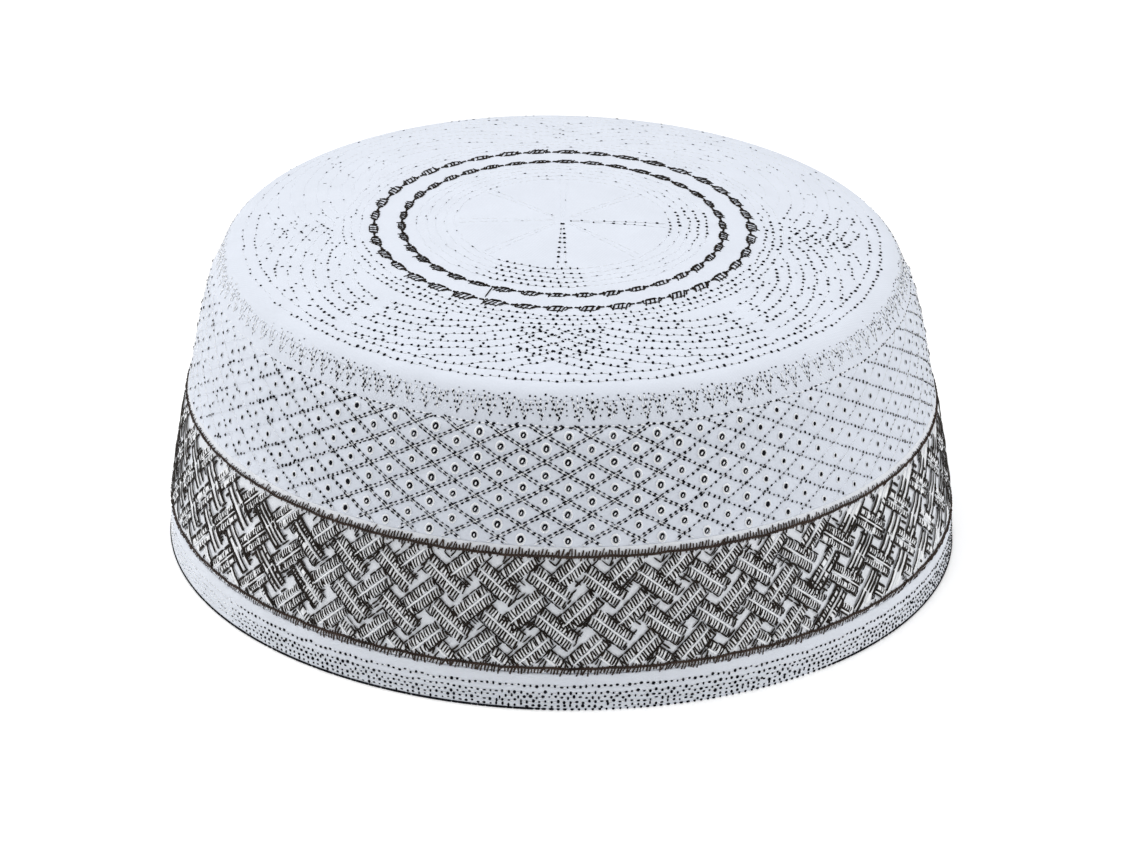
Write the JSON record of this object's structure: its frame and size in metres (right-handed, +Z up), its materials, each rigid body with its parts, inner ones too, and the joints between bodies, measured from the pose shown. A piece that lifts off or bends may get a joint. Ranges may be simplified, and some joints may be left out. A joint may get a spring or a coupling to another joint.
{
  "type": "prayer cap",
  "caption": "Stiff round cap of white quilted cotton with a low domed crown, an embroidered brown band above the hem and a hollow for the head.",
  "frame": {"origin": "middle of the rim, on the surface that the cap stands on", "axes": "+Z up through the crown, -Y towards the front, +X to the right seen from the front"},
  "size_m": [0.19, 0.19, 0.081],
  "materials": {
    "quilted_cotton": "matt white quilted cotton with fine running stitches",
    "hem_cotton": "matt white cotton with rows of machine stitching",
    "band_embroidery": "dark brown satin-stitched bars on white cotton, laid as a basket weave",
    "brown_thread": "soft satin sheen of dark brown embroidery thread"
  },
  "bodies": {
    "root": {"crown_panel": "quilted_cotton", "side_panel": "quilted_cotton", "hem": "hem_cotton", "embroidered_band": "band_embroidery", "band_border_top": "brown_thread", "band_border_bottom": "brown_thread", "crown_ring_outer": "brown_thread", "crown_ring_inner": "brown_thread"}
  },
  "joints": []
}
